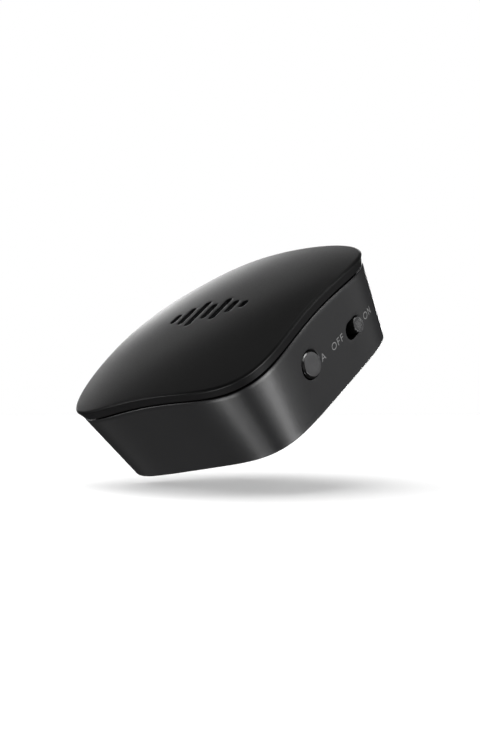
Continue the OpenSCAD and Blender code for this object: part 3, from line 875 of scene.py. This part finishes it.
def board(name):
    """Solder mask over copper: tracks, filled areas and plated vias."""
    n = Nodes(name)
    cells = n.add("ShaderNodeTexVoronoi", Vector=n.object, Scale=1 / (3.2 * MM), Randomness=0.55)
    cells.distance = "CHEBYCHEV"
    cells.feature = "DISTANCE_TO_EDGE"
    tracks = n.spread(cells.outputs["Distance"], 1, 0, 0.05, 0.09)
    dots = n.add("ShaderNodeTexVoronoi", Vector=n.object, Scale=1 / (2.1 * MM))
    vias = n.spread(dots.outputs["Distance"], 1, 0, 0.12, 0.16)
    mask = n.mix(tracks, (0.006, 0.07, 0.035, 1), (0.012, 0.15, 0.07, 1))
    n.set(Base_Color=n.mix(vias, mask, (0.55, 0.45, 0.22, 1)))
    n.set(Roughness=n.spread(n.noise(0.4, 4), 0.25, 0.38))
    n.set(Coat_Weight=0.4)
    n.set(Normal=n.bump(tracks, 0.02))
    return n.material


def foil(name, colour):
    """Laminated pouch: creased foil."""
    n = Nodes(name)
    crease_lines = n.add("ShaderNodeTexVoronoi", Vector=n.object, Scale=1 / (6 * MM))
    crease_lines.feature = "DISTANCE_TO_EDGE"
    folds = n.spread(crease_lines.outputs["Distance"], 0, 1, 0.0, 0.25)
    n.set(Metallic=1.0)
    n.set(Base_Color=n.mix(n.spread(n.noise(3.0), 0, 1), shade(colour, 0.85), shade(colour, 1.05)))
    n.set(Roughness=n.spread(n.noise(0.8, 4), 0.3, 0.42))
    n.set(Normal=n.bump(n.noise(2.2, 3), 0.12, n.bump(folds, 0.05)))
    return n.material


def foam_tape(name, colour):
    n = Nodes(name)
    cells = n.add("ShaderNodeTexVoronoi", Vector=n.object, Scale=1 / (0.3 * MM)).outputs["Distance"]
    n.set(Base_Color=n.mix(n.spread(cells, 0, 1), shade(colour, 1.05), shade(colour, 0.8)))
    n.set(Roughness=n.spread(n.noise(1.0), 0.8, 0.95))
    n.set(Normal=n.bump(cells, 0.04))
    return n.material


def lens(name):
    """Frosted clear plastic."""
    n = Nodes(name)
    n.set(Base_Color=n.mix(n.spread(n.noise(0.5, 3), 0, 1), (0.82, 0.86, 0.9, 1), (0.93, 0.95, 0.97, 1)))
    n.set(Roughness=n.spread(n.noise(0.2, 3), 0.25, 0.4))
    n.set(Transmission_Weight=0.75, IOR=1.49)
    n.set(Normal=n.bump(n.noise(0.15, 2), 0.003))
    return n.material


def ink(name, colour):
    """Printed legend: thin and slightly uneven."""
    n = Nodes(name)
    n.set(Base_Color=n.mix(n.spread(n.noise(0.25, 3), 0, 1), shade(colour, 0.85), shade(colour, 1.08)))
    n.set(Roughness=n.spread(n.noise(0.4, 2), 0.45, 0.6))
    n.set(Normal=n.bump(n.noise(0.08, 2), 0.002))
    return n.material


def tipped(name, body, metal_tone):
    """Surface-mount part: a dull body with tinned edges."""
    n = Nodes(name)
    tone = n.mix(n.spread(n.noise(0.35, 2), 0, 1), shade(body, 0.85), shade(body, 1.15))
    shine = n.edges(0.005)
    n.set(Base_Color=n.mix(shine, tone, shade(metal_tone, 1)))
    n.set(Metallic=n.spread(shine, 0, 0.8, 0, 1))
    n.set(Roughness=n.spread(n.noise(0.4, 3), 0.35, 0.55))
    n.set(Normal=n.bump(n.noise(0.1, 3), 0.004))
    return n.material


CASE = (0.021, 0.021, 0.022)
LID = (0.006, 0.006, 0.0063)
FINISHES = {
    "case_plastic": moulded("case_satin", CASE, 0.33),
    "cover_plastic": moulded("lid_satin", LID, 0.38, worn=1.3, specular=0.32),
    "pad_rubber": rubber("pad_rubber", (0.016, 0.016, 0.016)),
    "screw_steel": metal("zinc_plate", (0.52, 0.53, 0.56), 0.3),
    "board": board("solder_mask"),
    "tinned_steel": metal("tin_plate", (0.66, 0.66, 0.64), 0.28, (1, 10, 1)),
    "chip_black": moulded("chip_epoxy", (0.02, 0.02, 0.022), 0.55, 0.08, 0.004),
    "copper": metal("bare_copper", (0.72, 0.38, 0.2), 0.3, (8, 1, 1)),
    "ferrite": moulded("ferrite", (0.05, 0.05, 0.055), 0.6, 0.1, 0.006),
    "ceramic_tan": tipped("ceramic_chip", (0.3, 0.19, 0.1), (0.7, 0.7, 0.68)),
    "battery_foil": foil("pouch_foil", (0.68, 0.69, 0.72)),
    "tape": foam_tape("foam_tape", (0.72, 0.72, 0.69)),
    "lead_red": moulded("lead_red", (0.45, 0.02, 0.02), 0.4),
    "lead_black": moulded("lead_black", (0.015, 0.015, 0.015), 0.4),
    "connector_ivory": moulded("ivory_nylon", (0.68, 0.62, 0.48), 0.45, 0.1, 0.003, 1.1, 0.05),
    "socket_black": moulded("black_nylon", (0.014, 0.014, 0.015), 0.4),
    "contact_gold": metal("gold_plate", (0.86, 0.63, 0.25), 0.22),
    "clear_lens": lens("frosted_lens"),
    "button_plastic": moulded("button_satin", (0.018, 0.018, 0.019), 0.34),
    "knob_plastic": moulded("knob_satin", (0.03, 0.03, 0.031), 0.36),
}
MARK_FINISH = moulded("mark_gloss", (0.003, 0.003, 0.003), 0.22, worn=1.0)
# Near-black gloss that paints shade on the buttons' flanges, sides and chamfers, the knob's side and the
# shutter
PAINTED_SHADE_FINISH = moulded("control_side_painted_shade", (0.004, 0.004, 0.004), 0.2, worn=1.0)
INK = ink("legend_ink", (0.3, 0.3, 0.3))

# ---- The object ----


def show(piece, body, slot, *replaced):
    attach(piece, body)
    if replaced:
        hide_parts(*replaced)


def finish_cad_nodes(skip):
    """Gives each CAD node that shows its material and small rounded edges."""
    for part in frame["record"]["subparts"]:
        if part["node"] in skip:
            continue
        node = frame["nodes"][part["node"]]
        node.data.materials.clear()
        node.data.materials.append(FINISHES[part["material_slot"]])
        soften = node.modifiers.new("soften", "BEVEL")
        soften.width = SOFT_EDGE * MM
        soften.segments = 2
        soften.limit_method = "ANGLE"
        soften.angle_limit = math.radians(40)
        soften.harden_normals = False


MADE_HERE = ["lower_case", "top_cover", "button_a", "button_b", "switch_knob",
             "tact_a_dome", "tact_b_dome"]
finish_cad_nodes(MADE_HERE)
show(lower_case(FINISHES["case_plastic"]), "receiver", "case_plastic", "lower_case")
show(top_cover(FINISHES["cover_plastic"], MARK_FINISH), "receiver", "cover_plastic", "top_cover")
for letter, mirror in (("a", 1), ("b", -1)):
    cap = push_button(f"button_{letter}_cap", mirror, FINISHES["button_plastic"], PAINTED_SHADE_FINISH)
    show(cap, "push_button_" + letter, "button_plastic", "button_" + letter)
    snap_dome(letter, mirror, FINISHES["tinned_steel"])
show(slide_knob(FINISHES["knob_plastic"], PAINTED_SHADE_FINISH), "power_slider", "knob_plastic", "switch_knob")
# Each legend: name, letters, start along the wall, height, and the gap between letters
for words in [("legend_a", [letter_a], -3.9, 8.95, 0.3),
              ("legend_off", [letter_o, letter_f, letter_f], 0.3, 8.7, 0.5),
              ("legend_on", [letter_o, letter_n], 13.15, 7.85, 0.5)]:
    show(legend(*words, INK), "receiver", "case_plastic")

# ---- Camera ----

AZIMUTH, ELEVATION, ROLL = [math.radians(a) for a in (46.5, 18.2, -29.8)]
DISTANCE = 0.4198
LENS = 99.3
# The point that the camera looks at: the case's middle, moved right and down in the picture
LOOK_AT = Vector((0, 0, 0.0145))
AIM_RIGHT, AIM_UP = 0.0026, -0.0043


def camera_axes():
    """The camera's right, up and back when it looks straight at LOOK_AT."""
    back = Vector((math.sin(AZIMUTH) * math.cos(ELEVATION), -math.cos(AZIMUTH) * math.cos(ELEVATION),
                   math.sin(ELEVATION)))
    level = Vector((0, 0, 1)).cross(back).normalized()
    steep = back.cross(level)
    right = math.cos(ROLL) * level + math.sin(ROLL) * steep
    up = -math.sin(ROLL) * level + math.cos(ROLL) * steep
    return right, up, back


def make_camera():
    right, up, back = camera_axes()
    place = LOOK_AT + back * DISTANCE
    aim = LOOK_AT + right * AIM_RIGHT + up * AIM_UP
    back = (place - aim).normalized()
    right = up.cross(back).normalized()
    up = back.cross(right)
    camera = bpy.data.objects.new("camera", bpy.data.cameras.new("camera"))
    camera.data.lens = LENS
    camera.data.clip_start = 0.01
    camera.location = place
    turn = camera.rotation_euler.to_matrix()
    turn.col[0], turn.col[1], turn.col[2] = right, up, back
    camera.rotation_euler = turn.to_euler()
    bpy.context.scene.collection.objects.link(camera)
    bpy.context.scene.camera = camera


make_camera()

# ---- Stage and light ----

bpy.context.scene.view_settings.view_transform = "Standard"


def make_world():
    """White where the camera looks past the object, and dim everywhere else."""
    world = bpy.data.worlds.new("studio")
    bpy.context.scene.world = world
    world.use_nodes = True
    tree = world.node_tree
    tree.nodes.clear()
    out = tree.nodes.new("ShaderNodeOutputWorld")
    mix = tree.nodes.new("ShaderNodeMixShader")
    path = tree.nodes.new("ShaderNodeLightPath")
    white = tree.nodes.new("ShaderNodeBackground")
    dim = tree.nodes.new("ShaderNodeBackground")
    white.inputs["Color"].default_value = (1, 1, 1, 1)
    dim.inputs["Color"].default_value = (1, 1, 1, 1)
    dim.inputs["Strength"].default_value = 0.04
    tree.links.new(path.outputs["Is Camera Ray"], mix.inputs["Fac"])
    tree.links.new(dim.outputs["Background"], mix.inputs[1])
    tree.links.new(white.outputs["Background"], mix.inputs[2])
    tree.links.new(mix.outputs["Shader"], out.inputs["Surface"])


FLOOR_TILT = math.radians(1.3)
FLOOR_BELOW = 0.0166
FLOOR_REACH = 0.25


def make_floor():
    """A pale floor, level in the camera's tilted view of the object, seen only from its lit side."""
    across, up, back = camera_axes()
    normal = (math.cos(FLOOR_TILT) * up + math.sin(FLOOR_TILT) * back).normalized()
    along = normal.cross(across)
    corners = [normal * -FLOOR_BELOW + across * x * FLOOR_REACH + along * y * FLOOR_REACH
               for x, y in ((-1, -1), (1, -1), (1, 1), (-1, 1))]
    mesh = bpy.data.meshes.new("floor")
    mesh.from_pydata(corners, [], [(0, 1, 2, 3)])
    floor = bpy.data.objects.new("floor", mesh)
    bpy.context.scene.collection.objects.link(floor)
    material = bpy.data.materials.new("pale_floor")
    material.use_nodes = True
    tree = material.node_tree
    tree.nodes.clear()
    out = tree.nodes.new("ShaderNodeOutputMaterial")
    mix = tree.nodes.new("ShaderNodeMixShader")
    side = tree.nodes.new("ShaderNodeNewGeometry")
    pale = tree.nodes.new("ShaderNodeBsdfDiffuse")
    clear = tree.nodes.new("ShaderNodeBsdfTransparent")
    pale.inputs["Color"].default_value = (0.9, 0.9, 0.9, 1)
    tree.links.new(side.outputs["Backfacing"], mix.inputs["Fac"])
    tree.links.new(pale.outputs["BSDF"], mix.inputs[1])
    tree.links.new(clear.outputs["BSDF"], mix.inputs[2])
    tree.links.new(mix.outputs["Shader"], out.inputs["Surface"])
    mesh.materials.append(material)
    for ray in ("diffuse", "glossy", "transmission", "shadow"):
        setattr(floor, "visible_" + ray, False)
    return floor, normal, across


def sun(name, toward, strength, spread_degrees):
    """A distant soft light; toward points from the object to it."""
    data = bpy.data.lights.new(name, "SUN")
    data.energy = strength
    data.angle = math.radians(spread_degrees)
    lamp = bpy.data.objects.new(name, data)
    lamp.rotation_euler = Vector(toward).to_track_quat("Z", "Y").to_euler()
    bpy.context.scene.collection.objects.link(lamp)
    return lamp


def only_these(name, pieces):
    """A collection of the pieces that one lamp lights alone."""
    only = bpy.data.collections.new(name)
    for piece in pieces:
        only.objects.link(bpy.data.objects[piece])
    return only


def compass(azimuth, elevation):
    """The direction at an azimuth from +X and an elevation, in degrees."""
    a, e = math.radians(azimuth), math.radians(elevation)
    return Vector((math.cos(a) * math.cos(e), math.sin(a) * math.cos(e), math.sin(e)))


KEY_LEAN = 0.36


def floor_lamps(floor, normal, across):
    """One broad lamp that casts the soft shadow and one that fills it, for the floor alone."""
    only = only_these("floor_only", [floor.name])
    key = sun("floor_key", normal - across * KEY_LEAN, 2.4, 80)
    fill = sun("floor_fill", normal, 1.22, 5)
    fill.data.use_shadow = False
    for lamp in (key, fill):
        lamp.light_linking.receiver_collection = only


# Soft lights: name, azimuth from +X, elevation, strength, width in degrees, and the pieces that it
# lights, where those are not all. The glows light the lid from behind, the edges the case from below.
CASE_ONLY = ["case_shell"]
CONTROLS = ["button_a_cap", "button_b_cap", "switch_slider"]
LAMPS = [
    ("glow_behind", 133, 4, 0.08, 16, None),
    ("glow_left", 145, -4, 0.28, 16, None),
    ("glow_far_left", 145, 4, 0.036, 16, None),
    ("glow_middle", 133, -4, 0.1, 16, None),
    ("glow_right", 121, -4, 0.24, 16, None),
    ("glow_low", 133, -12, 0.08, 16, None),
    ("glow_high", 145, 22, 0.012, 16, None),
    ("back_middle", 140, 47, 0.04, 30, None),
    ("back_right", 103, 40, 0.1, 26, None),
    ("back_left", 180, 40, 0.09, 26, None),
    ("rim_right", 47, 24, 0.2, 12, None),
    ("rim_front", 217, 23, 0.3, 12, None),
    ("case_rim_right", 66, 42, 1.0, 12, CASE_ONLY),
    ("case_rim_front", 203, 40, 0.5, 12, CASE_ONLY),
    ("edge_right", 8, -30, 0.93, 14, None),
    ("edge_right_low", 4, -48, 0.24, 14, None),
    ("edge_middle", 352, -30, 0.54, 14, None),
    ("edge_soft", 336, -30, 0.29, 14, None),
    ("edge_front", 256, -30, 0.39, 14, None),
    ("edge_front_wide", 264, -30, 0.24, 14, None),
    ("edge_front_soft", 280, -30, 0.4, 14, None),
    ("wall_front", 200, -30, 0.013, 14, None),
    ("wall_right", 32, -30, 0.075, 14, None),
    ("wall_right_high", 46, -14, 0.19, 14, None),
    ("wall_far_right", 64, -28, 0.04, 16, None),
    ("edge_far_right", 128, -26, 1.2, 14, None),
    ("top", 0, 90, 0.05, 30, None),
    ("sheen_front", 315, 12, 0.12, 40, None),
    ("sheen_front_left", 240, 14, 0.1, 40, None),
    ("sheen_back", 90, 66, 0.1, 40, None),
    ("button_glint", 42, 50, 3.4, 34, CONTROLS),
    ("button_glint_left", 2, 46, 0.8, 34, CONTROLS),
]
make_world()
floor_lamps(*make_floor())
for lamp_name, azimuth, elevation, strength, width, lit in LAMPS:
    lamp = sun(lamp_name, compass(azimuth, elevation), strength, width)
    if lit:
        lamp.light_linking.receiver_collection = only_these(lamp_name, lit)
